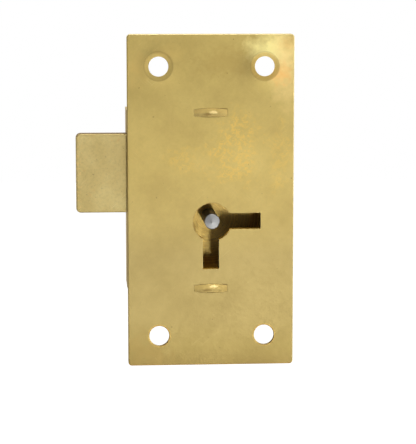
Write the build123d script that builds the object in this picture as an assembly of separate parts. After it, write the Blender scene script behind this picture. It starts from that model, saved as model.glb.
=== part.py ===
from build123d import *
import math
import os

# Straight cabinet lock with four levers, shown with its bolt thrown and its levers
# held at gate height, as the key holds them half way round.
# Millimetres. The origin is on the key pin's axis at the front face of the lock plate.
# X runs to the right, Z up, and Y from the door's side of the plate into the lock.

# Lock plate
plate_width = 32.0
plate_height = 64.0
plate_thickness = 1.5
plate_corner_radius = 0.7
plate_edge_rounding = 0.2
plate_offset_left = 0.26
plate_offset_up = 4.01

# Four screw holes, countersunk from the side of the case
screw_hole_radius = 1.9
screw_spacing_across = 20.3
screw_spacing_up = 52.0
screw_offset_left = 0.1
screw_centre_up = 3.86
countersink_radius = 3.3
countersink_depth = 1.1
screw_hole_edge = 0.12

# Pressing the countersinks of the upper two holes has raised the plate's front round them
swell_rise = 0.12
swell_land = 0.2
swell_dish_radius = 2.75
swell_dish_depth = 0.04

# Keyhole: a round hole for the key's barrel and a slot on two sides for its bit
barrel_hole_radius = 3.65
bit_slot_width = 3.1
right_slot_reach = 9.35
right_slot_up = 0.16
down_slot_reach = 9.15
down_slot_left = 0.24

# Key that the lock is made for
key_reach = 9.0
key_bit_thickness = 2.5

# Case, a folded cover with two tabs that are riveted over on the plate's front
case_left_overhang = 0.1
case_right_setback = 0.2
case_top = 21.6
case_bottom = -13.5
case_wall = 1.1
case_fold_radius = 0.8
case_inner_rounding = 0.4
tab_offset_left = 0.25
tab_width = 6.2
tab_head_width = 6.4
tab_head_end_height = 1.16
tab_head_middle_height = 1.66
tab_head_sink = 0.4
tab_head_rise = 0.2
tab_head_crown_radius = 26.0
tab_head_edge = 0.1
tab_fit = 0.02

# Key pin
key_pin_radius = 1.45
key_pin_setback = 0.3
key_pin_edge = 0.12
key_pin_point = 0.26

# Riveted ends on the back of the case
rivet_shank_share = 0.75
rivet_head_overhang = 0.55
rivet_head_height = 0.4
rivet_head_edge = 0.3

# Bolt
bolt_throw = 9.8
bolt_thickness = 3.0
bolt_bottom = 1.8
bolt_height = 15.2
bolt_edge_rounding = 0.3
bolt_end_radius = 0.9
bolt_shoulder_inset = 1.3
bolt_tail_gap = 0.5
bolt_running_gap = 0.05
bolt_window_gap = 0.15
talon_width = 5.0
talon_headroom = 0.35
talon_corner_radius = 0.6

# Guide post that the slot of the bolt's tail runs on
guide_post_radius = 0.9
guide_post_tail_land = 0.85
guide_post_top_land = 1.8
guide_slot_gap = 0.08
guide_slot_end_gap = 0.15

# Bolt stump, which passes the gates of the levers
stump_size = 2.2
stump_corner_radius = 0.3
stump_from_toe = 3.0
stump_over_bolt_bottom = 8.4
stump_end_gap = 0.2
stump_shank_radius = 0.8

# Levers, all of one outline, with a gate at a different height in each
lever_thickness = 0.95
lever_pitch = 1.1
lever_pack_gap = 0.15
lever_lifts = (4.0, 5.4, 3.2, 4.7)
lever_floor_gap = 0.2
lever_overlift = 1.2
lever_gate_gap = 0.14
lever_eye_radius = 2.3
lever_belly_width = 10.4
lever_belly_up = 6.6
lever_belly_end_up = 5.9
lever_toe_gap = 1.9
lever_toe_step = 2.0
lever_toe_depth = 4.1
lever_toe_land = 1.9
lever_crown_reach = 3.2
lever_crown_land = 1.3
lever_heel_angle = 224
lever_nape_angle = 51.5
lever_corner_radius = 0.8

# Post that the levers turn on, with the bush that keeps them off the plate
lever_post_radius = 1.3
lever_post_up = 3.2
lever_eye_gap = 0.3
lever_bore_gap = 0.04
bush_wall = 0.5

# Lever springs, bent strips held in a saw cut in the top edge of each lever
spring_thickness = 0.3
spring_width = 0.8
spring_foot_from_pocket = 3.1
spring_foot_depth = 0.9
spring_neck = 1.2
spring_lip_length = 2.0
spring_lip_drop = 0.5
spring_tip_from_toe = 1.2
spring_tip_gap = 0.05
spring_bend_radius = 1.6

# Places that follow from the sizes above
plate_left = -plate_offset_left - plate_width / 2
plate_right = -plate_offset_left + plate_width / 2
case_left = plate_left - case_left_overhang
case_right = plate_right - case_right_setback
case_ceiling = case_top - case_wall
bolt_front = plate_thickness + bolt_running_gap
bolt_back = bolt_front + bolt_thickness
lever_front = bolt_back + lever_pack_gap
floor_front = lever_front + len(lever_lifts) * lever_pitch + lever_floor_gap
case_back = floor_front + case_wall
bolt_top = bolt_bottom + bolt_height
bolt_tip = plate_left - bolt_throw
bolt_shoulder = case_left + case_wall + bolt_shoulder_inset
bolt_tail_end = case_right - case_wall - bolt_tail_gap - bolt_throw
guide_post_x = bolt_tail_end - guide_post_tail_land - guide_slot_end_gap - guide_post_radius
guide_post_z = bolt_top - guide_post_top_land
lever_post_x = case_right - case_wall - lever_eye_gap - lever_eye_radius
lever_toe_x = case_left + case_wall + lever_toe_gap
stump_x = lever_toe_x + stump_from_toe
stump_drawn_x = stump_x + bolt_throw
stump_z = bolt_bottom + stump_over_bolt_bottom
lever_crown = (
    stump_drawn_x + lever_crown_reach,
    stump_z + stump_size / 2 + lever_crown_land,
)
lever_shoulder = (
    -lever_belly_width / 2 - lever_toe_step,
    stump_z + stump_size / 2 + lever_toe_land,
)


def prism(outline, front, back):
    """A flat outline, drawn in X and Z, made solid between two depths."""
    return extrude(Plane.XZ.offset(-front) * outline, amount=back - front, dir=(0, 1, 0))


def at(x, z):
    return Pos(x, z)


def round_bar(x, z, radius, front, back):
    return prism(at(x, z) * Circle(radius), front, back)


def box_outline(left, right, bottom, top, radius=0):
    width = right - left
    height = top - bottom
    middle = at((left + right) / 2, (bottom + top) / 2)
    if radius:
        return middle * RectangleRounded(width, height, radius)
    return middle * Rectangle(width, height)


def front_edges(solid):
    return solid.edges().group_by(Axis.Y)[0]


def back_edges(solid):
    return solid.edges().group_by(Axis.Y)[-1]


def screw_places():
    for across in (-0.5, 0.5):
        for up in (-0.5, 0.5):
            x = across * screw_spacing_across - screw_offset_left
            yield x, screw_centre_up + up * screw_spacing_up


def tab_places():
    """Middle of each tab, which stands on the case's bottom or top wall."""
    for z in (case_bottom + case_wall / 2, case_top - case_wall / 2):
        yield -tab_offset_left, z


def tab_head_outline(extra):
    """The barrel-shaped mark that a tab spreads into when it is riveted over."""
    half_width = tab_head_width / 2 + extra
    half_end = tab_head_end_height / 2 + extra
    half_middle = tab_head_middle_height / 2 + extra
    edges = [
        ThreePointArc((-half_width, half_end), (0, half_middle), (half_width, half_end)),
        Line((half_width, half_end), (half_width, -half_end)),
        ThreePointArc((half_width, -half_end), (0, -half_middle), (-half_width, -half_end)),
        Line((-half_width, -half_end), (-half_width, half_end)),
    ]
    return make_face(edges)


def keyhole_outline():
    half = bit_slot_width / 2
    right_slot = box_outline(0, right_slot_reach, right_slot_up - half, right_slot_up + half)
    down_slot = box_outline(-down_slot_left - half, -down_slot_left + half, -down_slot_reach, 0)
    return Circle(barrel_hole_radius) + right_slot + down_slot


def screw_swell():
    """Soft rise round an upper screw hole, standing on the XY plane."""
    nearest_side = plate_right + screw_offset_left - screw_spacing_across / 2
    outer = nearest_side - plate_edge_rounding - swell_land
    start_slope = 2 * swell_rise / (outer - swell_dish_radius)
    flank = Spline(
        (swell_dish_radius, swell_rise),
        (outer, 0),
        tangents=((1, -start_slope), (1, 0)),
    )
    profile = make_face(
        [
            flank,
            Line((outer, 0), (0, 0)),
            Line((0, 0), (0, swell_rise)),
            Line((0, swell_rise), (swell_dish_radius, swell_rise)),
        ]
    )
    return revolve(Plane.XZ * profile, Axis.Z)


def facing_front(x, y, z):
    return Plane((x, y, z), z_dir=(0, -1, 0))


def sunk_cone(front_radius, back_radius, depth):
    """A cone that is cut into a face, with its wide end at that face."""
    return Cone(back_radius, front_radius, depth, align=(Align.CENTER, Align.CENTER, Align.MAX))


def lock_plate():
    middle = at(-plate_offset_left, plate_offset_up)
    outline = middle * RectangleRounded(plate_width, plate_height, plate_corner_radius)
    plate = prism(outline, 0, plate_thickness)
    plate = fillet(front_edges(plate), plate_edge_rounding)
    plate -= prism(keyhole_outline(), 0, plate_thickness)
    for x, z in screw_places():
        if z > screw_centre_up:
            plate += facing_front(x, 0, z) * screw_swell()
            dish = sunk_cone(swell_dish_radius, screw_hole_radius, swell_dish_depth)
            plate -= facing_front(x, -swell_rise, z) * dish
        else:
            edge = sunk_cone(screw_hole_radius + screw_hole_edge, screw_hole_radius, screw_hole_edge)
            plate -= facing_front(x, 0, z) * edge
        plate -= round_bar(x, z, screw_hole_radius, -swell_rise, plate_thickness)
        seat = Plane((x, plate_thickness, z), z_dir=(0, 1, 0))
        plate -= seat * sunk_cone(countersink_radius, screw_hole_radius, countersink_depth)
    for x, z in tab_places():
        slot = Rectangle(tab_width + 2 * tab_fit, case_wall + 2 * tab_fit)
        plate -= prism(at(x, z) * slot, 0, plate_thickness)
        plate -= prism(at(x, z) * tab_head_outline(tab_fit), 0, tab_head_sink + tab_fit)
    return plate


def tab_head(x, z):
    """The head of a tab, hammered to a low crown on the plate's front."""
    head = prism(at(x, z) * tab_head_outline(0), -tab_head_rise, tab_head_sink)
    head = chamfer(front_edges(head), tab_head_edge)
    crown = Pos(x, tab_head_crown_radius - tab_head_rise, z) * Sphere(tab_head_crown_radius)
    return head & crown


def case_cover():
    outer = box_outline(case_left, case_right, case_bottom, case_top)
    outer = fillet(outer.vertices().group_by(Axis.Y)[0], case_fold_radius)
    inner = box_outline(
        case_left + case_wall,
        case_right - case_wall,
        case_bottom + case_wall,
        case_ceiling,
        case_inner_rounding,
    )
    shell = prism(outer, plate_thickness, case_back)
    shell = fillet(back_edges(shell), case_fold_radius)
    hollow = prism(inner, plate_thickness, floor_front)
    hollow = fillet(back_edges(hollow), case_inner_rounding)
    shell -= hollow
    bolt_window = box_outline(
        case_left,
        case_left + case_wall,
        bolt_bottom - bolt_window_gap,
        bolt_top + bolt_window_gap,
    )
    shell -= prism(bolt_window, plate_thickness, bolt_back + bolt_window_gap)
    for x, z, radius in posts():
        shell -= round_bar(x, z, radius * rivet_shank_share, floor_front, case_back)
    for x, z in tab_places():
        shell += prism(at(x, z) * Rectangle(tab_width, case_wall), 0, plate_thickness)
        shell += tab_head(x, z)
    return shell


def posts():
    """Place and radius of each post that is riveted into the floor of the case."""
    return (
        (0, 0, key_pin_radius),
        (lever_post_x, lever_post_up, lever_post_radius),
        (guide_post_x, guide_post_z, guide_post_radius),
    )


def riveted_post(x, z, radius, front):
    """A post that stands on the case's floor, with a shank and a riveted head behind."""
    post = round_bar(x, z, radius, front, floor_front)
    post += round_bar(x, z, radius * rivet_shank_share, floor_front, case_back)
    head = round_bar(x, z, radius + rivet_head_overhang, case_back, case_back + rivet_head_height)
    head = chamfer(back_edges(head), rivet_head_edge)
    return post + head


def key_pin():
    pin = riveted_post(0, 0, key_pin_radius, key_pin_setback)
    pin = chamfer(front_edges(pin), key_pin_edge)
    point = Cone(
        key_pin_radius - key_pin_edge,
        0,
        key_pin_point,
        align=(Align.CENTER, Align.CENTER, Align.MIN),
    )
    return pin + facing_front(0, key_pin_setback, 0) * point


def lever_post():
    return riveted_post(lever_post_x, lever_post_up, lever_post_radius, bolt_front)


def bolt_guide_post():
    return riveted_post(guide_post_x, guide_post_z, guide_post_radius, bolt_front)


def lever_bush():
    inner = lever_post_radius + lever_bore_gap
    back = lever_front - lever_pack_gap / 3
    bush = round_bar(lever_post_x, lever_post_up, inner + bush_wall, bolt_front, back)
    return bush - round_bar(lever_post_x, lever_post_up, inner, bolt_front, back)


def talon_line():
    """Height of the bolt's lower edge at which the key lets go of the talon."""
    corner_reach = math.hypot(key_reach, key_bit_thickness / 2)
    return math.sqrt(corner_reach**2 - ((bolt_throw + talon_width) / 2) ** 2)


def bolt():
    outline = box_outline(bolt_tip, bolt_shoulder, bolt_bottom, bolt_top)
    outline += box_outline(bolt_shoulder, bolt_tail_end, talon_line(), bolt_top)
    outline = fillet(outline.vertices().group_by(Axis.X)[0], bolt_end_radius)
    talon = box_outline(
        -(bolt_throw + talon_width) / 2,
        -(bolt_throw - talon_width) / 2,
        talon_line() - talon_width,
        key_reach + talon_headroom,
        talon_corner_radius,
    )
    slot = box_outline(
        guide_post_x - bolt_throw - guide_post_radius - guide_slot_end_gap,
        guide_post_x + guide_post_radius + guide_slot_end_gap,
        guide_post_z - guide_post_radius - guide_slot_gap,
        guide_post_z + guide_post_radius + guide_slot_gap,
        guide_post_radius,
    )
    bar = prism(outline, bolt_front, bolt_back)
    rim = bar.edges().filter_by(lambda edge: edge.center().X < case_left - bolt_end_radius)
    ends = rim.group_by(Axis.Y)
    bar = fillet(ends[0] + ends[-1], bolt_edge_rounding)
    bar -= prism(talon + slot, bolt_front, bolt_back)
    return bar - round_bar(stump_x, stump_z, stump_shank_radius, bolt_front, bolt_back)


def bolt_stump():
    outline = at(stump_x, stump_z) * RectangleRounded(stump_size, stump_size, stump_corner_radius)
    stump = prism(outline, bolt_back, floor_front - stump_end_gap)
    return stump + round_bar(stump_x, stump_z, stump_shank_radius, bolt_front, bolt_back)


def lifted(outline, degrees):
    """An outline turned about the lever post, with the levers' free ends going up."""
    to_post = at(lever_post_x, lever_post_up)
    return to_post * Rot(0, 0, -degrees) * to_post.inverse() * outline


def eye_point(angle):
    """A point on the rim of a lever's eye."""
    turn = math.radians(angle)
    return (
        lever_post_x + lever_eye_radius * math.cos(turn),
        lever_post_up + lever_eye_radius * math.sin(turn),
    )


def lever_outline():
    """Outer shape of a lever when it rests on the stump."""
    half_belly = lever_belly_width / 2
    belly_right = (half_belly, lever_belly_end_up)
    belly_left = (-half_belly, lever_belly_end_up)
    toe_bottom = stump_z - stump_size / 2 - lever_toe_depth
    blank = make_face(
        [
            Line(eye_point(lever_heel_angle), belly_right),
            ThreePointArc(belly_right, (0, lever_belly_up), belly_left),
            Line(belly_left, (lever_shoulder[0], toe_bottom)),
            Line((lever_shoulder[0], toe_bottom), (lever_toe_x, toe_bottom)),
            Line((lever_toe_x, toe_bottom), (lever_toe_x, lever_shoulder[1])),
            Line((lever_toe_x, lever_shoulder[1]), lever_shoulder),
            Line(lever_shoulder, lever_crown),
            Line(lever_crown, eye_point(lever_nape_angle)),
            Line(eye_point(lever_nape_angle), eye_point(lever_heel_angle)),
        ]
    )
    corners = blank.vertices().filter_by(lambda corner: corner.X < lever_crown[0] + lever_crown_reach)
    blank = fillet(corners, lever_corner_radius)
    return blank + at(lever_post_x, lever_post_up) * Circle(lever_eye_radius)


def stump_pocket(x, lift, gap):
    """Room for the stump at one end of its travel, from the lever down to over-lifted."""
    size = stump_size + 2 * gap
    square = at(x, stump_z) * Rectangle(size, size)
    edges = []
    for turn in (lift, lift / 2, 0, -lever_overlift):
        edges += lifted(square, turn).edges()
    return make_hull(edges)


def lever(index):
    lift = lever_lifts[index]
    front = lever_front + index * lever_pitch
    gate_half = stump_size / 2 + lever_gate_gap
    blank = lifted(lever_outline(), lift)
    blank -= box_outline(stump_x, stump_drawn_x, stump_z - gate_half, stump_z + gate_half)
    blank -= stump_pocket(stump_x, lift, lever_gate_gap)
    blank -= stump_pocket(stump_drawn_x, lift, lever_gate_gap)
    blank -= at(lever_post_x, lever_post_up) * Circle(lever_post_radius + lever_bore_gap)
    blank -= spring_cut(index)
    return prism(blank, front, front + lever_thickness)


def spring_foot(index):
    """The point of a lever's top edge where its spring is held."""
    foot_x = stump_drawn_x - spring_foot_from_pocket
    share = (foot_x - lever_shoulder[0]) / (lever_crown[0] - lever_shoulder[0])
    foot_z = lever_shoulder[1] + share * (lever_crown[1] - lever_shoulder[1])
    turn = math.radians(lever_lifts[index])
    x = foot_x - lever_post_x
    z = foot_z - lever_post_up
    return (
        lever_post_x + x * math.cos(turn) + z * math.sin(turn),
        lever_post_up - x * math.sin(turn) + z * math.cos(turn),
    )


def spring_cut(index):
    x, z = spring_foot(index)
    half = spring_thickness / 2
    return box_outline(x - half, x + half, z - spring_foot_depth, z + spring_neck)


def lever_spring(index):
    x, z = spring_foot(index)
    middle = lever_front + index * lever_pitch + lever_thickness / 2
    tip_x = lever_toe_x + spring_tip_from_toe
    tip_z = case_ceiling - spring_tip_gap - spring_thickness / 2
    path = FilletPolyline(
        (x, z - spring_foot_depth),
        (x, z + spring_neck),
        (tip_x + spring_lip_length, tip_z - spring_lip_drop),
        (tip_x, tip_z),
        radius=spring_bend_radius,
    )
    strip = trace(path, spring_thickness)
    return prism(strip, middle - spring_width / 2, middle + spring_width / 2)


os.makedirs("parts", exist_ok=True)
pieces = {
    "lock_plate": lock_plate(),
    "case_cover": case_cover(),
    "key_pin": key_pin(),
    "lever_post": lever_post(),
    "bolt_guide_post": bolt_guide_post(),
    "lever_bush": lever_bush(),
    "bolt": bolt(),
    "bolt_stump": bolt_stump(),
}
for number in range(len(lever_lifts)):
    pieces[f"lever_{number + 1}"] = lever(number)
    pieces[f"lever_spring_{number + 1}"] = lever_spring(number)
for name, solid in pieces.items():
    export_step(solid, f"parts/{name}.step")
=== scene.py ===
import math
from collections import namedtuple

import bpy
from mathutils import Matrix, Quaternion, Vector


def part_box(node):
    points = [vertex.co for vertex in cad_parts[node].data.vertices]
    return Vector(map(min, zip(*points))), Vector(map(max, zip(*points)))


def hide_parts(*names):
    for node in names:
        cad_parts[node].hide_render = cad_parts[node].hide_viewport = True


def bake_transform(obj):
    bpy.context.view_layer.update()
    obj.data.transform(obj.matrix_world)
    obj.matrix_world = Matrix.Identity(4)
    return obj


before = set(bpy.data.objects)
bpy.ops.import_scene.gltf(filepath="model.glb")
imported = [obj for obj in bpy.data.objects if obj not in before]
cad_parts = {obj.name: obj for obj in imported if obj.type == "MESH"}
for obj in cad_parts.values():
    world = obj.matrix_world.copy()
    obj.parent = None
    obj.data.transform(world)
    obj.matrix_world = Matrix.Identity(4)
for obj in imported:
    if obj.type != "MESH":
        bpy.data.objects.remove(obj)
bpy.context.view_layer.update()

MM = 0.001
LEVERS = (1, 2, 3, 4)

# Camera, fitted to the corners of the lock plate in the photograph
PHOTO_LONG_SIDE = 444
FOCAL_PIXELS = 1841.4
SENSOR = 36.0
CAMERA_PLACE = Vector((-26.06, -350.0, 47.91)) * MM
CAMERA_AIM = Vector((-0.81, 0.0, 0.01)) * MM
CAMERA_NEAR = 0.01
CAMERA_FAR = 50.0

# Lever springs, in millimetres
SPRING_THICKNESS = 0.3
SPRING_LEG = 2.1
SPRING_LIP_LENGTH = 2.0
SPRING_LIP_DROP = 0.5
SPRING_ARM_STEPS = 6
SPRING_LIP_STEPS = 2
SPRING_NECK_BEVEL = 1.4
SPRING_LIP_BEVEL = 0.4
SPRING_BEND_SEGMENTS = 6
SPRING_EDGE = 0.05
SPRING_EDGE_SEGMENTS = 2
SPRING_EDGE_ANGLE = math.radians(50)
SPRING_SMOOTH_ANGLE = math.radians(35)

# Studio. The floor and the room are dim in front of the lock and bright behind it, as its
# metal mirrors them, and each pair gives the depths or directions between which that changes.
FLOOR_HEIGHT = -0.45
FLOOR_SIZE = 8.0
FLOOR_COLOUR = (0.8, 0.8, 0.8, 1.0)
FLOOR_GLOW = 0.85
FLOOR_CHANGE = (-0.1, 0.5)
ROOM_COLOUR = (1.0, 1.0, 1.0, 1.0)
ROOM_IN_FRONT = 0.10
ROOM_BEHIND = 1.0
ROOM_CHANGE = (-0.15, 0.3)
ROOM_LIGHT = 0.3

# Lamps that face the key pin. The key lamp is a strip that leans from upright.
Lamp = namedtuple("Lamp", "name place size power length lean", defaults=(None, 0.0))
LAMPS = (
    Lamp("key_lamp", (0.157, -1.055, -0.262), 0.045, 2.56, length=0.28, lean=math.radians(31)),
    Lamp("right_panel", (0.543, -0.65, 0.30), 0.3, 0.9),
    Lamp("side_panel", (0.80, -0.35, 0.20), 0.4, 3.0),
    Lamp("top_panel", (0.05, -0.40, 0.80), 0.4, 4.0),
    Lamp("left_panel", (-0.90, -0.25, -0.10), 0.4, 0.8),
)


def linear(red, green, blue):
    """A colour as it is seen on a screen, from 0 to 255, as linear light."""
    out = []
    for value in (red, green, blue):
        share = value / 255
        out.append(share / 12.92 if share <= 0.04045 else ((share + 0.055) / 1.055) ** 2.4)
    return (*out, 1.0)


# Places on the lock, in millimetres from the key pin's axis, as (x, z)
KEY_PIN = (0.0, 0.0)
PLATE_BOTTOM = -28.0
PLATE_TOP = 36.0
UPPER_SCREWS = ((-10.25, 29.86), (10.05, 29.86))
LOWER_SCREWS = ((-10.25, -22.14), (10.05, -22.14))
UPPER_TAB = (-0.25, 21.05)
LOWER_TAB = (-0.25, -12.95)

# Head of a tab: half its width, half its height at the ends, and how much higher its middle is
TAB_HALF_WIDE = 3.2
TAB_HALF_HIGH = 0.83
TAB_BARREL = 0.25

# Rings round the holes of the plate, as (radius, width) in millimetres
SWELL_RIM = (2.7, 0.4)
SWELL_GROOVE = (2.72, 0.2)
SWELL_DISH = (2.25, 0.6)
LOWER_SCREW_EDGE = (2.12, 0.2)
LOWER_SCREW_SHADE = (1.98, 0.16)
KEYHOLE_RIM = (3.72, 0.14)
SEAM_WIDTH = 0.11

# Distances from the key pin, as (start, end): beyond the keyhole's ends, and beyond the part
# of the case's floor that the key sweeps
PAST_KEYHOLE = (10.8, 11.2)
PAST_KEY = (7.7, 8.6)

# Masks along an axis, as (axis, start, end), black before start and white past end. The first
# ones go by a point's place in millimetres.
PLATE_FRONT = ("Y", 0.5, 0.3)
TAB_FRONT = ("Y", 0.5, 0.4)
BOLT_END = ("X", -24.6, -25.3)
CASE_INSIDE = (
    ("Y", 1.2, 2.0),
    ("Y", 9.9, 9.6),
    ("X", -15.8, -15.5),
    ("X", 15.1, 14.8),
    ("Z", -13.1, -12.8),
    ("Z", 21.2, 20.9),
)

# These go by the direction that a surface faces
TO_LEFT = ("X", -0.4, -0.8)
RIGHT_EDGE = ("X", 0.15, 0.5)
TOP_EDGE = ("Z", 0.15, 0.5)
BOTTOM_EDGE = ("Z", -0.15, -0.5)
UPWARD = ("Z", 0.2, 0.6)
TO_FRONT = ("Y", -0.3, -0.6)
PLATE_WALLS = (("Y", -0.5, -0.2), ("Y", 0.5, 0.2))
BOLT_SIDES = (("Y", -0.75, -0.3), ("Y", 0.75, 0.3))

# Colours of the metals, from the dark to the light parts of their noise
# Dark tarnish for pits, also painted as shade in the groove round each upper swell
TARNISH_AND_SHADE = linear(74, 54, 30)
PLATE_BRASS = (
    (0.34, linear(196, 173, 105)),
    (0.5, linear(203, 180, 110)),
    (0.66, linear(209, 186, 115)),
)
PLATE_MOTTLE = ((0.35, (0.98, 0.98, 0.97)), (0.62, (1.01, 1.01, 1.02)))
PLATE_GRAIN = ((0.34, (0.93, 0.925, 0.91)), (0.64, (1.03, 1.03, 1.03)))
PLATE_TONES = (
    (0.0, (0.62, 0.59, 0.57)),
    (0.06, (0.72, 0.71, 0.71)),
    (0.14, (0.80, 0.80, 0.88)),
    (0.33, (0.79, 0.79, 0.88)),
    (0.44, (0.88, 0.88, 0.92)),
    (0.64, (0.96, 0.96, 0.96)),
    (0.80, (0.87, 0.87, 0.86)),
    (1.0, (0.90, 0.90, 0.88)),
)
BOLT_BRASS = (
    (0.34, linear(192, 172, 113)),
    (0.5, linear(200, 180, 121)),
    (0.66, linear(208, 190, 131)),
)
BOLT_GRAIN = (
    (0.34, (0.83, 0.82, 0.79)),
    (0.5, (0.97, 0.97, 0.96)),
    (0.66, (1.05, 1.05, 1.05)),
)
CASE_BRASS = (
    (0.34, linear(198, 171, 104)),
    (0.5, linear(208, 181, 112)),
    (0.66, linear(216, 190, 120)),
)
CASE_GRAIN = ((0.3, (0.93, 0.92, 0.90)), (0.65, (1.03, 1.03, 1.03)))
CASE_FLOOR_TONE = (0.98, 0.92, 0.78, 1.0)
BRUSHED_GRAIN = ((0.3, (0.92, 0.92, 0.9)), (0.65, (1.04, 1.04, 1.04)))
LEVER_BRASS = (
    (0.32, linear(190, 162, 94)),
    (0.5, linear(202, 174, 102)),
    (0.68, linear(212, 186, 110)),
)
SPRING_BRONZE = (
    (0.32, linear(172, 126, 78)),
    (0.5, linear(186, 138, 86)),
    (0.68, linear(198, 150, 96)),
)
PIN_STEEL = ((0.3, linear(164, 164, 162)), (0.7, linear(184, 184, 182)))
POST_STEEL = ((0.3, linear(150, 148, 142)), (0.7, linear(178, 176, 170)))

# Colours of the marks on them
PLATE_SEAM = linear(96, 70, 34)
PLATE_KEYHOLE_RIM = linear(140, 100, 46)
PLATE_SCRATCH = linear(236, 218, 160)
PLATE_LEFT_SIDE_SHADE = linear(150, 116, 62)
PLATE_EDGE_HIGHLIGHT = linear(250, 234, 180)
PLATE_BOTTOM_EDGE = linear(226, 172, 84)
PLATE_HOLE_EDGE = linear(216, 178, 92)
PLATE_HOLE_SHADE = linear(96, 70, 36)
PLATE_KEYHOLE_WALL_SHADE = linear(132, 96, 46)
PLATE_KEYHOLE_SILL_HIGHLIGHT = linear(246, 196, 70)
BOLT_SCRATCH = linear(232, 216, 164)
BOLT_ORANGE = linear(200, 150, 84)
BOLT_SIDE_SHADE = linear(126, 96, 54)
BOLT_WORN_END = linear(228, 196, 128)
CASE_FLECK = linear(70, 46, 18)
CASE_UNWORN_AND_SHADE = linear(196, 130, 44)
CASE_FLOOR = linear(226, 202, 128)
CASE_SWIRL = linear(252, 224, 140)
CASE_SPECK = linear(250, 222, 130)
CASE_LEFT_SIDE_SHADE = linear(128, 104, 66)
CASE_SCRATCH = linear(236, 214, 150)

# An area is a soft patch round (x, z), in millimetres. Its edge is as ragged as noise of the
# grain makes it, and it is full inside its core, a share of its size.
Area = namedtuple("Area", "x z wide high ragged grain core", defaults=(0.5, 2.5, 0.55))
AREA_END = 1.25

# An area painted in its colour with its strength. Some are marks of tarnish, others painted
# light and shade.
Daub = namedtuple("Daub", "area share colour")
PLATE_STAINS_AND_GLARE = (
    # Painted reflection: the glare and orange bloom of a highlight at the upper right corner
    Daub(Area(11.2, 32.9, 4.8, 3.2, 0.25, 1.6, 0.25), 1.0, linear(255, 240, 162)),
    Daub(Area(14.0, 30.0, 3.0, 7.5, 0.25, 1.6, 0.0), 0.8, linear(242, 214, 146)),
    Daub(Area(13.1, 28.3, 1.9, 2.2, 0.5, 1.2, 0.0), 0.6, linear(232, 176, 98)),
    Daub(Area(14.4, 34.0, 1.6, 1.4, 0.5, 1.2, 0.0), 0.4, linear(222, 176, 102)),
    # Darker patches left of the upper right screw hole
    Daub(Area(6.4, 29.6, 2.6, 3.0, 0.4, 1.6, 0.1), 0.5, linear(160, 138, 82)),
    Daub(Area(2.6, 30.6, 5.0, 2.6, 0.6, 1.2), 0.3, linear(170, 144, 80)),
    # Brown lower left corner
    Daub(Area(-12.5, -25.0, 4.5, 3.2, 0.8), 0.2, linear(176, 144, 84)),
)
CRACKLE = (
    (Area(4.4, 13.6, 4.6, 6.4, 0.6), 1.0),
    (Area(13.0, 13.0, 2.2, 5.6, 0.6), 0.55),
    (Area(-5.0, 12.0, 3.8, 2.5, 0.6), 0.6),
)
CRACKLE_COLOUR = linear(230, 192, 98)

# The swell round the upper left screw hole: its shaded rim and its two lit sides
SWELL_SHADED = Daub(Area(-9.2, 31.8, 2.6, 1.6, 0.3), 0.3, linear(120, 100, 56))
SWELL_LIT_TOP = Daub(Area(-8.6, 32.4, 3.4, 1.6, 0.4, 1.6, 0.0), 0.4, linear(218, 188, 112))
SWELL_LIT_LEFT = Daub(Area(-14.4, 29.6, 2.4, 3.4, 0.4, 1.6, 0.0), 0.4, linear(216, 184, 110))
DISH_TONES = ((0.25, linear(168, 144, 80)), (0.7, linear(186, 156, 84)))

BOLT_CHIP = Daub(Area(-17.9, -1.3, 1.0, 0.35, 0.5, 0.8), 0.7, linear(238, 220, 160))

# On the head of a tab, with places from its middle: its brass, painted shade on its lower part
# and in its fold, and last a painted highlight on the crest, which stands at its own height on
# each head.
HEAD_BRASS = Daub(Area(0.0, 0.0, 4.0, 1.6, 0.0), 0.5, linear(190, 166, 98))
HEAD_LOWER_SHADE = Daub(Area(-0.5, -0.45, 3.2, 0.5, 0.3, 0.6), 0.6, linear(160, 140, 88))
HEAD_FOLD_SHADE = Daub(Area(-0.7, -0.3, 0.8, 0.3, 0.3, 0.5), 0.5, linear(110, 84, 40))
UPPER_HEAD_HIGHLIGHT = Daub(Area(0.5, 0.1, 0.8, 0.26, 0.3, 0.5), 0.7, linear(255, 232, 166))
LOWER_HEAD_HIGHLIGHT = Daub(Area(0.5, 0.4, 0.8, 0.26, 0.3, 0.5), 0.7, linear(255, 232, 166))
TAB_HEADS = (
    (UPPER_TAB, (HEAD_BRASS, HEAD_LOWER_SHADE, HEAD_FOLD_SHADE, UPPER_HEAD_HIGHLIGHT)),
    (LOWER_TAB, (HEAD_BRASS, HEAD_LOWER_SHADE, HEAD_FOLD_SHADE, LOWER_HEAD_HIGHLIGHT)),
)
SEAM_CORNER = Daub(Area(2.6, 0.72, 0.7, 0.2, 0.2, 0.5), 0.45, linear(96, 66, 30))
LOWER_SCREW_SHADED_SIDE = Area(0.8, -1.3, 1.9, 1.5, 0.2)

# Sockets of a Mix node: its share, its two values and its result, for numbers and for colours
MIX_NUMBER_INPUTS = (0, 2, 3)
MIX_NUMBER_OUTPUT = 0
MIX_COLOUR_INPUTS = (0, 6, 7)
MIX_COLOUR_OUTPUT = 2


def shifted(area, place):
    """An area whose place is given from a point of the lock."""
    return area._replace(x=area.x + place[0], z=area.z + place[1])


def put(tree, value, socket):
    """A link where the value is another node's output, and otherwise the socket's value."""
    if isinstance(value, bpy.types.NodeSocket):
        tree.links.new(value, socket)
    else:
        socket.default_value = value


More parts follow.
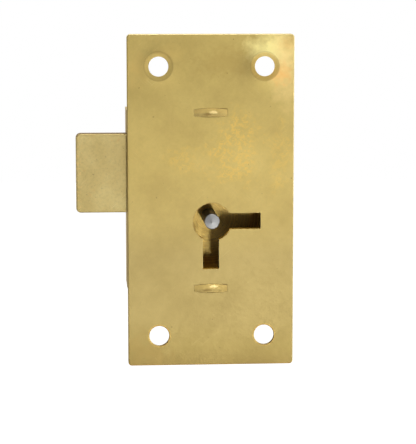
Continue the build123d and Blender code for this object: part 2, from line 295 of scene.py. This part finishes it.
class Finish:
    """A metal, painted coat by coat with procedural nodes on Object coordinates."""

    def __init__(self, name):
        self.material = bpy.data.materials.new(name)
        self.material.use_nodes = True
        self.tree = self.material.node_tree
        self.shader = self.tree.nodes["Principled BSDF"]
        texture = self.tree.nodes.new("ShaderNodeTexCoord")
        self.coords = texture.outputs["Object"]
        self.normal = texture.outputs["Normal"]
        self.skewed = self.placed(turn=(0.5, 0.9, 0.3))
        self.colour = None

    def join(self, source, target):
        self.tree.links.new(source, target)

    def node(self, kind, **settings):
        made = self.tree.nodes.new(kind)
        for key, value in settings.items():
            setattr(made, key, value)
        return made

    def placed(self, place=(0, 0, 0), turn=(0, 0, 0), scale=(1, 1, 1), kind="POINT"):
        """Object coordinates moved, turned and stretched."""
        mapping = self.node("ShaderNodeMapping", vector_type=kind)
        self.join(self.coords, mapping.inputs["Vector"])
        mapping.inputs["Location"].default_value = place
        mapping.inputs["Rotation"].default_value = turn
        mapping.inputs["Scale"].default_value = scale
        return mapping.outputs["Vector"]

    def noise(self, size, detail=3, roughness=0.5, where=None, distortion=0.0):
        """Cloudy noise whose grains are about as large as size, in millimetres."""
        made = self.node("ShaderNodeTexNoise")
        self.join(where or self.skewed, made.inputs["Vector"])
        made.inputs["Scale"].default_value = 1 / (size * MM)
        made.inputs["Detail"].default_value = detail
        made.inputs["Roughness"].default_value = roughness
        made.inputs["Distortion"].default_value = distortion
        return made.outputs["Fac"]

    def ramp(self, source, stops):
        made = self.node("ShaderNodeValToRGB")
        self.join(source, made.inputs["Fac"])
        bar = made.color_ramp
        while len(bar.elements) < len(stops):
            bar.elements.new(0.5)
        for element, (place, colour) in zip(bar.elements, stops):
            element.position = place
            element.color = colour if len(colour) == 4 else (*colour, 1.0)
        return made.outputs["Color"]

    def grey(self, source, low, high, start=0.3, end=0.7):
        """A value that runs from low to high as the source runs from start to end."""
        made = self.node("ShaderNodeMapRange")
        self.join(source, made.inputs["Value"])
        made.inputs["From Min"].default_value = start
        made.inputs["From Max"].default_value = end
        made.inputs["To Min"].default_value = low
        made.inputs["To Max"].default_value = high
        return made.outputs["Result"]

    def mask(self, source, start, end):
        """White where the source is past end, and black before start."""
        return self.grey(source, 0.0, 1.0, start, end)

    def mix(self, share, first, second, way="MIX"):
        made = self.node("ShaderNodeMix", data_type="RGBA", blend_type=way)
        for value, socket in zip((share, first, second), MIX_COLOUR_INPUTS):
            put(self.tree, value, made.inputs[socket])
        return made.outputs[MIX_COLOUR_OUTPUT]

    def maths(self, what, first, second=None):
        made = self.node("ShaderNodeMath", operation=what)
        put(self.tree, first, made.inputs[0])
        if second is not None:
            put(self.tree, second, made.inputs[1])
        return made.outputs[0]

    def times(self, *factors):
        out = factors[0]
        for factor in factors[1:]:
            out = self.maths("MULTIPLY", out, factor)
        return out

    def most(self, *values):
        out = values[0]
        for value in values[1:]:
            out = self.maths("MAXIMUM", out, value)
        return out

    def away(self, x, z, wide=1.0, high=1.0):
        """Distance from (x, z) in millimetres, with each direction divided by its size."""
        where = self.placed(
            place=(-x / wide, 0, -z / high),
            scale=(1 / (wide * MM), 0, 1 / (high * MM)),
        )
        length = self.node("ShaderNodeVectorMath", operation="LENGTH")
        self.join(where, length.inputs[0])
        return length.outputs["Value"]

    def patch(self, area):
        """A soft patch with a ragged edge, white inside its core."""
        edge = self.grey(self.noise(area.grain, 3, 0.6), -area.ragged, area.ragged)
        away = self.away(area.x, area.z, area.wide, area.high)
        return self.grey(self.maths("ADD", away, edge), 1.0, 0.0, area.core, AREA_END)

    def line(self, off, width):
        """White where the distance off a line is small, and black from the given width on."""
        return self.grey(self.maths("ABSOLUTE", off), 1.0, 0.0, width * 0.4, width)

    def ring(self, place, size):
        """A thin ring round a place, with a size of (radius, width)."""
        radius, width = size
        return self.line(self.maths("SUBTRACT", self.away(*place), radius), width)

    def seam(self, place):
        """A thin line round the barrel-shaped head of a tab."""
        x, z = place
        split = self.node("ShaderNodeSeparateXYZ")
        self.join(self.placed((-x, 0, -z), scale=(1 / MM, 0, 1 / MM)), split.inputs[0])
        across, up = split.outputs["X"], split.outputs["Z"]
        over = self.maths("SUBTRACT", self.maths("ABSOLUTE", across), TAB_HALF_WIDE)
        barrel = self.times(across, across, TAB_BARREL / TAB_HALF_WIDE**2)
        above = self.maths("SUBTRACT", self.maths("ABSOLUTE", up), TAB_HALF_HIGH)
        return self.line(self.most(over, self.maths("ADD", above, barrel)), SEAM_WIDTH)

    def facing(self, axis, start, end):
        """White where the surface's normal, along one axis, is past end."""
        split = self.node("ShaderNodeSeparateXYZ")
        self.join(self.normal, split.inputs[0])
        return self.mask(split.outputs[axis], start, end)

    def along(self, axis, start, end):
        """White where the point, along one axis in millimetres, is past end."""
        split = self.node("ShaderNodeSeparateXYZ")
        self.join(self.coords, split.inputs[0])
        return self.mask(split.outputs[axis], start * MM, end * MM)

    def spots(self, size, start, end, detail, roughness, seed):
        """Spots of noise, whose places the seed's two numbers shift."""
        where = self.placed((seed[0], 0, seed[1]))
        return self.mask(self.noise(size, detail, roughness, where), start, end)

    def scratches(self, turn, width, length, share, seed):
        """Thin straight marks in one direction, where share is how much they cover."""
        stretch = (1, 1, length / width)
        where = self.placed((seed, 0, seed * 0.7), (0, turn, 0), stretch, "TEXTURE")
        grain = self.noise(width * 3, detail=1, roughness=0.4, where=where)
        thin = self.mask(grain, start=0.69, end=0.73)
        scratched = self.spots(
            5.0,
            start=0.62 - share,
            end=0.72 - share,
            detail=1,
            roughness=0.5,
            seed=(seed * 3, seed),
        )
        return self.times(thin, scratched)

    def bump(self, height, strength, distance, under=None):
        made = self.node("ShaderNodeBump")
        self.join(height, made.inputs["Height"])
        made.inputs["Strength"].default_value = strength
        made.inputs["Distance"].default_value = distance * MM
        if under:
            self.join(under, made.inputs["Normal"])
        return made.outputs["Normal"]

    def coat(self, source, stops):
        """The first coat, a noise in the metal's own colours."""
        self.colour = self.ramp(source, stops)

    def shade(self, tone, share=1.0):
        """The colour so far, made darker or lighter by a tone."""
        self.colour = self.mix(share, self.colour, tone, "MULTIPLY")

    def paint(self, colour, *masks, share=1.0):
        """A colour over the colour so far, where all masks are white."""
        self.colour = self.mix(self.times(*masks, share), self.colour, colour)

    def daub(self, daub, *masks, place=KEY_PIN):
        area = self.patch(shifted(daub.area, place))
        self.paint(daub.colour, area, *masks, share=daub.share)

    def finish(self, roughness, normal):
        self.join(self.colour, self.shader.inputs["Base Color"])
        self.join(roughness, self.shader.inputs["Roughness"])
        self.join(normal, self.shader.inputs["Normal"])
        self.shader.inputs["Metallic"].default_value = 1.0
        return self.material


def plate_finish():
    """The plate's brass: olive mottling, yellow and orange tarnish, pits, and painted light and
    shade: a glare at the upper right corner, highlights on the faces turned right and up and on
    the keyhole's sills, shade on the faces turned left and on the keyhole's walls.
    """
    metal = Finish("plate_brass")
    mottle = metal.noise(1.1, detail=4, roughness=0.65)
    grain = metal.noise(0.5, detail=3, roughness=0.7)
    metal.coat(metal.noise(9.0, detail=4, roughness=0.6), PLATE_BRASS)
    metal.shade(metal.ramp(mottle, PLATE_MOTTLE))
    metal.shade(metal.ramp(grain, PLATE_GRAIN))
    metal.shade(metal.ramp(metal.along("Z", PLATE_BOTTOM, PLATE_TOP), PLATE_TONES))
    unmarked = metal.colour

    # Tarnish and brown patches, and the painted glare of a reflection at the upper right corner
    flakes = metal.noise(0.8, detail=4, roughness=0.75, distortion=0.2)
    flakes = metal.mask(flakes, start=0.46, end=0.58)
    crackle = metal.most(*(metal.times(metal.patch(area), share) for area, share in CRACKLE))
    metal.paint(CRACKLE_COLOUR, flakes, crackle, share=0.5)
    for daub in PLATE_STAINS_AND_GLARE:
        metal.daub(daub)

    # Swells round the upper screw holes: painted shade on the left swell's rim and in the groove
    # at each swell's edge, and painted highlights on the left swell's lit sides
    metal.daub(SWELL_SHADED, metal.ring(UPPER_SCREWS[0], SWELL_RIM))
    metal.daub(SWELL_LIT_TOP)
    shaded_grooves = metal.most(*(metal.ring(place, SWELL_GROOVE) for place in UPPER_SCREWS))
    metal.paint(TARNISH_AND_SHADE, shaded_grooves, share=0.2)
    for place, (share, tone) in zip(UPPER_SCREWS, DISH_TONES):
        metal.paint(tone, metal.ring(place, SWELL_DISH), share=share)
    metal.daub(SWELL_LIT_LEFT)

    # Dark seams round the tabs, and a broken dark line round the keyhole's edge
    seams = metal.most(metal.seam(UPPER_TAB), metal.seam(LOWER_TAB))
    gaps = metal.noise(0.8, detail=1, roughness=0.5)
    broken = metal.grey(gaps, low=0.25, high=1.0, start=0.36, end=0.54)
    metal.paint(PLATE_SEAM, seams, broken, share=0.55)
    metal.daub(SEAM_CORNER, place=UPPER_TAB)
    metal.daub(SEAM_CORNER, place=LOWER_TAB)
    metal.paint(PLATE_KEYHOLE_RIM, metal.ring(KEY_PIN, KEYHOLE_RIM), broken, share=0.5)

    # Pits and scratches
    pits = metal.spots(0.7, 0.76, 0.79, detail=1, roughness=0.4, seed=(3.1, 1.7))
    metal.paint(TARNISH_AND_SHADE, pits, share=0.4)
    marks = metal.most(
        metal.scratches(turn=0.9, width=0.05, length=2.0, share=0.12, seed=0.31),
        metal.scratches(turn=2.3, width=0.05, length=1.4, share=0.1, seed=0.57),
    )
    metal.paint(PLATE_SCRATCH, marks, share=0.12)
    front = metal.along(*PLATE_FRONT)
    metal.colour = metal.mix(front, unmarked, metal.colour)

    # Edges, and the walls of the holes, with painted light and shade
    # Painted shade on the faces turned left
    metal.paint(PLATE_LEFT_SIDE_SHADE, metal.facing(*TO_LEFT), share=0.3)
    # Painted highlights on the faces turned right and up
    edges = metal.most(metal.facing(*RIGHT_EDGE), metal.facing(*TOP_EDGE))
    metal.paint(PLATE_EDGE_HIGHLIGHT, edges, share=0.7)
    metal.paint(PLATE_BOTTOM_EDGE, metal.facing(*BOTTOM_EDGE), share=0.6)
    for place in LOWER_SCREWS:
        metal.paint(PLATE_HOLE_EDGE, metal.ring(place, LOWER_SCREW_EDGE), front, share=0.35)
        shaded = metal.patch(shifted(LOWER_SCREW_SHADED_SIDE, place))
        crescent = metal.times(metal.ring(place, LOWER_SCREW_SHADE), shaded, front)
        metal.paint(PLATE_HOLE_SHADE, crescent, share=0.75)
    # Painted shade on the walls of the keyhole, and painted highlights on its sills, the walls
    # turned up
    near = metal.grey(metal.away(*KEY_PIN), 1.0, 0.0, *PAST_KEYHOLE)
    keyhole_walls = metal.times(near, *(metal.facing(*side) for side in PLATE_WALLS))
    metal.paint(PLATE_KEYHOLE_WALL_SHADE, keyhole_walls)
    metal.paint(PLATE_KEYHOLE_SILL_HIGHLIGHT, keyhole_walls, metal.facing(*UPWARD))

    rough = metal.grey(grain, low=0.50, high=0.56, start=0.42, end=0.58)
    rough = metal.maths("ADD", rough, metal.times(marks, -0.05))
    under = metal.bump(grain, strength=0.03, distance=0.02)
    under = metal.bump(mottle, strength=0.02, distance=0.03, under=under)
    cuts = metal.maths("SUBTRACT", marks, pits)
    return metal.finish(rough, metal.bump(cuts, strength=0.06, distance=0.01, under=under))


def bolt_finish():
    """The bolt's paler brass, finely pitted, with painted shade on its sides."""
    metal = Finish("bolt_brass")
    grain = metal.noise(0.55, detail=3, roughness=0.7)
    metal.coat(metal.noise(5.0, detail=4, roughness=0.6), BOLT_BRASS)
    metal.shade(metal.ramp(grain, BOLT_GRAIN))
    pits = metal.spots(0.55, 0.74, 0.78, detail=1, roughness=0.4, seed=(1.3, 2.9))
    metal.paint(TARNISH_AND_SHADE, pits, share=0.4)
    marks = metal.scratches(turn=0.9, width=0.06, length=1.6, share=0.12, seed=0.83)
    metal.paint(BOLT_SCRATCH, marks, share=0.4)
    orange = metal.spots(1.2, 0.66, 0.74, detail=2, roughness=0.5, seed=(2.2, 0.6))
    metal.paint(BOLT_ORANGE, orange, share=0.35)
    # Painted shade on the sides, the faces turned neither front nor back
    side = metal.times(*(metal.facing(*direction) for direction in BOLT_SIDES))
    metal.paint(BOLT_SIDE_SHADE, side, share=0.8)
    gold = metal.spots(0.5, 0.54, 0.62, detail=2, roughness=0.6, seed=(0.4, 1.1))
    end_of_front = metal.times(metal.along(*BOLT_END), metal.facing(*TO_FRONT))
    metal.paint(BOLT_WORN_END, gold, end_of_front, share=0.5)
    metal.daub(BOLT_CHIP)

    rough = metal.grey(grain, low=0.50, high=0.58, start=0.4, end=0.6)
    rough = metal.maths("ADD", rough, metal.times(side, 0.1))
    under = metal.bump(grain, strength=0.04, distance=0.03)
    cuts = metal.maths("SUBTRACT", marks, pits)
    return metal.finish(rough, metal.bump(cuts, strength=0.2, distance=0.01, under=under))


def case_finish():
    """The case's brass: bright outside and on the tabs' heads, brown and flecked inside, with
    painted shade on its left side, painted light and shade on the heads, and reddish painted
    shade at the slots' far ends.
    """
    metal = Finish("case_brass")
    grain = metal.noise(0.4, detail=3, roughness=0.65)
    metal.coat(metal.noise(4.0, detail=4, roughness=0.6), CASE_BRASS)
    metal.shade(metal.ramp(grain, CASE_GRAIN))

    # Inside, with the rings that the key has rubbed into the floor
    inside = metal.times(*(metal.along(*side) for side in CASE_INSIDE))
    flecks = metal.spots(0.45, 0.64, 0.68, detail=2, roughness=0.6, seed=(0.9, 0.4))
    metal.paint(CASE_FLECK, flecks, inside, share=0.6)
    # Amber beyond the key's sweep, where it has not rubbed the floor; it also paints the reddish
    # shade at the slots' far ends
    unworn_and_shade = metal.mask(metal.away(*KEY_PIN), *PAST_KEY)
    metal.paint(CASE_UNWORN_AND_SHADE, unworn_and_shade, inside, share=0.75)
    arcs = metal.node("ShaderNodeTexNoise", noise_dimensions="1D")
    metal.join(metal.away(*KEY_PIN), arcs.inputs["W"])
    arcs.inputs["Scale"].default_value = 3.0
    arcs.inputs["Detail"].default_value = 2
    swirl = metal.times(metal.mask(arcs.outputs["Fac"], 0.5, 0.62), inside)
    metal.paint(CASE_FLOOR, inside, share=0.5)
    metal.paint(CASE_SWIRL, swirl, share=0.42)
    specks = metal.spots(0.5, 0.64, 0.70, detail=2, roughness=0.6, seed=(1.7, 0.2))
    metal.paint(CASE_SPECK, specks, inside, share=0.6)
    metal.shade(CASE_FLOOR_TONE, share=inside)

    # Outside, with painted shade on the faces turned left
    metal.paint(CASE_LEFT_SIDE_SHADE, metal.facing(*TO_LEFT), share=0.55)
    marks = metal.most(
        metal.scratches(turn=0.7, width=0.05, length=2.4, share=0.14, seed=0.41),
        metal.scratches(turn=2.2, width=0.05, length=1.8, share=0.1, seed=0.67),
    )
    metal.paint(CASE_SCRATCH, marks, share=0.2)
    head = metal.along(*TAB_FRONT)
    # The tabs' heads: their brass, painted shade and a painted highlight
    for place, head_daubs in TAB_HEADS:
        for daub in head_daubs:
            metal.daub(daub, head, place=place)

    rough = metal.grey(grain, low=0.48, high=0.60, start=0.42, end=0.58)
    under = metal.bump(grain, strength=0.08, distance=0.03)
    under = metal.bump(swirl, strength=0.25, distance=0.02, under=under)
    waves = metal.noise(0.9, detail=2, roughness=0.5)
    return metal.finish(rough, metal.bump(waves, strength=0.25, distance=0.1, under=under))


def brass_finish(name, stops, rough):
    """Plain brass or bronze of a hidden piece, brushed and lightly marked."""
    metal = Finish(name)
    along_x = metal.placed(scale=(0.06, 1, 1))
    brushed = metal.noise(0.5, detail=2, roughness=0.5, where=along_x)
    metal.coat(metal.noise(4.0, detail=4, roughness=0.55), stops)
    metal.shade(metal.ramp(brushed, BRUSHED_GRAIN))
    marks = metal.scratches(turn=1.2, width=0.06, length=2.0, share=0.12, seed=0.31)
    lightest = stops[-1][1]
    metal.paint(lightest, marks, share=0.3)
    rough = metal.grey(brushed, rough - 0.08, rough + 0.1)
    return metal.finish(rough, metal.bump(brushed, strength=0.2, distance=0.01))


def steel_finish(name, stops, rough):
    """Turned steel, finely grained."""
    metal = Finish(name)
    grain = metal.noise(0.25, detail=3, roughness=0.6)
    metal.coat(grain, stops)
    rough = metal.grey(grain, rough - 0.06, rough + 0.08)
    return metal.finish(rough, metal.bump(grain, strength=0.15, distance=0.01))


pin_steel = steel_finish("pin_steel", PIN_STEEL, rough=0.46)
post_steel = steel_finish("post_steel", POST_STEEL, rough=0.42)
lever_brass = brass_finish("lever_brass", LEVER_BRASS, rough=0.42)
spring_bronze = brass_finish("spring_bronze", SPRING_BRONZE, rough=0.4)

finishes = {
    "lock_plate": plate_finish(),
    "case_cover": case_finish(),
    "key_pin": pin_steel,
    "lever_post": post_steel,
    "bolt_guide_post": post_steel,
    "lever_bush": lever_brass,
    "bolt": bolt_finish(),
    "bolt_stump": post_steel,
}
for number in LEVERS:
    finishes[f"lever_{number}"] = lever_brass
    finishes[f"lever_spring_{number}"] = spring_bronze

for name, material in finishes.items():
    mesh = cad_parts[name].data
    mesh.materials.clear()
    mesh.materials.append(material)


def deselect():
    bpy.ops.object.select_all(action="DESELECT")


def pick(obj, wanted):
    """Edit mode with the vertices selected for which wanted(place) is true, and their edges."""
    bpy.context.view_layer.objects.active = obj
    obj.select_set(True)
    bpy.ops.object.mode_set(mode="EDIT")
    bpy.ops.mesh.select_mode(type="VERT")
    bpy.ops.mesh.select_all(action="DESELECT")
    bpy.ops.object.mode_set(mode="OBJECT")
    for vertex in obj.data.vertices:
        vertex.select = wanted(vertex.co)
    bpy.ops.object.mode_set(mode="EDIT")
    bpy.ops.mesh.select_mode(type="EDGE")


def pull(way, steps):
    """The selected edges extruded along a way, in equal steps."""
    for _ in range(steps):
        bpy.ops.mesh.extrude_region_move(TRANSFORM_OT_translate={"value": way / steps})


def apply_modifier(obj, kind, **settings):
    modifier = obj.modifiers.new(kind.lower(), kind)
    for key, value in settings.items():
        setattr(modifier, key, value)
    bpy.context.view_layer.objects.active = obj
    bpy.ops.object.modifier_apply(modifier=modifier.name)


def lever_spring(number):
    """A bent strip: out of the saw cut, over the lever's top, to a lip under the case's wall."""
    low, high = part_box(f"lever_spring_{number}")
    thickness = SPRING_THICKNESS * MM
    foot_x = high[0] - thickness / 2
    tip = Vector((low[0], 0, high[2] - thickness / 2))
    middle = (low[1] + high[1]) / 2
    neck = low[2] + SPRING_LEG * MM
    lip = tip + Vector((SPRING_LIP_LENGTH, 0, -SPRING_LIP_DROP)) * MM

    deselect()
    bpy.ops.mesh.primitive_plane_add(
        size=1,
        location=(foot_x, middle, (low[2] + neck) / 2),
        rotation=(0, math.pi / 2, 0),
    )
    strip = bpy.context.object
    strip.scale = (neck - low[2], high[1] - low[1], 1)
    strip.name = f"lever_spring_strip_{number}"
    bpy.ops.object.transform_apply(location=True, rotation=True, scale=True)
    pick(strip, lambda place: place.z > neck - thickness / 2)
    pull(lip - Vector((foot_x, 0, neck)), SPRING_ARM_STEPS)
    pull(tip - lip, SPRING_LIP_STEPS)
    bpy.ops.object.mode_set(mode="OBJECT")

    near = thickness / 3
    bends = (((foot_x, neck), SPRING_NECK_BEVEL), ((lip.x, lip.z), SPRING_LIP_BEVEL))
    for (bend_x, bend_z), radius in bends:
        pick(strip, lambda place: math.hypot(place.x - bend_x, place.z - bend_z) < near)
        bpy.ops.mesh.bevel(offset=radius * MM, segments=SPRING_BEND_SEGMENTS, affect="EDGES")
        bpy.ops.object.mode_set(mode="OBJECT")
    apply_modifier(strip, "SOLIDIFY", thickness=thickness, offset=0)
    apply_modifier(
        strip,
        "BEVEL",
        width=SPRING_EDGE * MM,
        segments=SPRING_EDGE_SEGMENTS,
        limit_method="ANGLE",
        angle_limit=SPRING_EDGE_ANGLE,
    )
    bpy.ops.object.mode_set(mode="EDIT")
    bpy.ops.mesh.select_all(action="SELECT")
    bpy.ops.mesh.normals_make_consistent(inside=False)
    bpy.ops.object.mode_set(mode="OBJECT")
    bpy.ops.object.shade_smooth_by_angle(angle=SPRING_SMOOTH_ANGLE)
    bpy.ops.object.origin_set(type="ORIGIN_CURSOR")
    strip.data.materials.append(spring_bronze)
    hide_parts(f"lever_spring_{number}")
    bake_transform(strip)


for number in LEVERS:
    lever_spring(number)


def depth_level(tree, place, front, back, change):
    """A strength that runs from front to back with the Y of a place or of a direction."""
    split = tree.nodes.new("ShaderNodeSeparateXYZ")
    tree.links.new(place, split.inputs[0])
    level = tree.nodes.new("ShaderNodeMapRange")
    level.interpolation_type = "SMOOTHSTEP"
    tree.links.new(split.outputs["Y"], level.inputs["Value"])
    level.inputs["From Min"].default_value = change[0]
    level.inputs["From Max"].default_value = change[1]
    level.inputs["To Min"].default_value = front
    level.inputs["To Max"].default_value = back
    return level.outputs["Result"]


def seen_as(tree, camera, mirrored, other):
    """One strength for camera rays, one for glossy and transmission rays, one for the rest."""
    path = tree.nodes.new("ShaderNodeLightPath")
    shiny = tree.nodes.new("ShaderNodeMath")
    shiny.operation = "MAXIMUM"
    tree.links.new(path.outputs["Is Glossy Ray"], shiny.inputs[0])
    tree.links.new(path.outputs["Is Transmission Ray"], shiny.inputs[1])
    strength = other
    for share, level in ((shiny.outputs[0], mirrored), (path.outputs["Is Camera Ray"], camera)):
        blend = tree.nodes.new("ShaderNodeMix")
        for value, socket in zip((share, strength, level), MIX_NUMBER_INPUTS):
            put(tree, value, blend.inputs[socket])
        strength = blend.outputs[MIX_NUMBER_OUTPUT]
    return strength


def pale_floor():
    deselect()
    bpy.ops.mesh.primitive_plane_add(size=FLOOR_SIZE, location=(0, 0, FLOOR_HEIGHT))
    floor = bpy.context.object
    floor.name = "floor"
    material = bpy.data.materials.new("pale_floor")
    material.use_nodes = True
    tree = material.node_tree
    tree.nodes.clear()
    out = tree.nodes.new("ShaderNodeOutputMaterial")
    both = tree.nodes.new("ShaderNodeAddShader")
    pale = tree.nodes.new("ShaderNodeBsdfDiffuse")
    pale.inputs["Color"].default_value = FLOOR_COLOUR
    glow = tree.nodes.new("ShaderNodeEmission")
    coords = tree.nodes.new("ShaderNodeTexCoord")
    mirrored = depth_level(tree, coords.outputs["Object"], 0.0, FLOOR_GLOW, FLOOR_CHANGE)
    tree.links.new(seen_as(tree, FLOOR_GLOW, mirrored, 0.0), glow.inputs["Strength"])
    tree.links.new(pale.outputs[0], both.inputs[0])
    tree.links.new(glow.outputs[0], both.inputs[1])
    tree.links.new(both.outputs[0], out.inputs["Surface"])
    floor.data.materials.append(material)


def white_room():
    """A world that is white behind the lock and dim in front of it."""
    world = bpy.data.worlds.new("studio")
    bpy.context.scene.world = world
    world.use_nodes = True
    tree = world.node_tree
    back = tree.nodes["Background"]
    back.inputs["Color"].default_value = ROOM_COLOUR
    coords = tree.nodes.new("ShaderNodeTexCoord")
    directions = coords.outputs["Generated"]
    mirrored = depth_level(tree, directions, ROOM_IN_FRONT, ROOM_BEHIND, ROOM_CHANGE)
    tree.links.new(seen_as(tree, ROOM_BEHIND, mirrored, ROOM_LIGHT), back.inputs["Strength"])


def light_up(lamp):
    data = bpy.data.lights.new(lamp.name, "AREA")
    data.shape = "ELLIPSE"
    data.size = lamp.size
    data.size_y = lamp.length or lamp.size
    data.energy = lamp.power
    thing = bpy.data.objects.new(lamp.name, data)
    bpy.context.scene.collection.objects.link(thing)
    thing.visible_camera = False
    thing.location = lamp.place
    facing = (-Vector(lamp.place)).to_track_quat("-Z", "Y")
    thing.rotation_euler = (facing @ Quaternion((0, 0, 1), lamp.lean)).to_euler()


def camera():
    data = bpy.data.cameras.new("camera")
    data.sensor_fit = "AUTO"
    data.sensor_width = SENSOR
    data.lens = FOCAL_PIXELS / PHOTO_LONG_SIDE * SENSOR
    data.clip_start = CAMERA_NEAR
    data.clip_end = CAMERA_FAR
    thing = bpy.data.objects.new("camera", data)
    bpy.context.scene.collection.objects.link(thing)
    thing.location = CAMERA_PLACE
    thing.rotation_euler = (CAMERA_AIM - CAMERA_PLACE).to_track_quat("-Z", "Y").to_euler()
    bpy.context.scene.camera = thing


pale_floor()
white_room()
for lamp in LAMPS:
    light_up(lamp)
camera()
bpy.context.scene.view_settings.view_transform = "Standard"
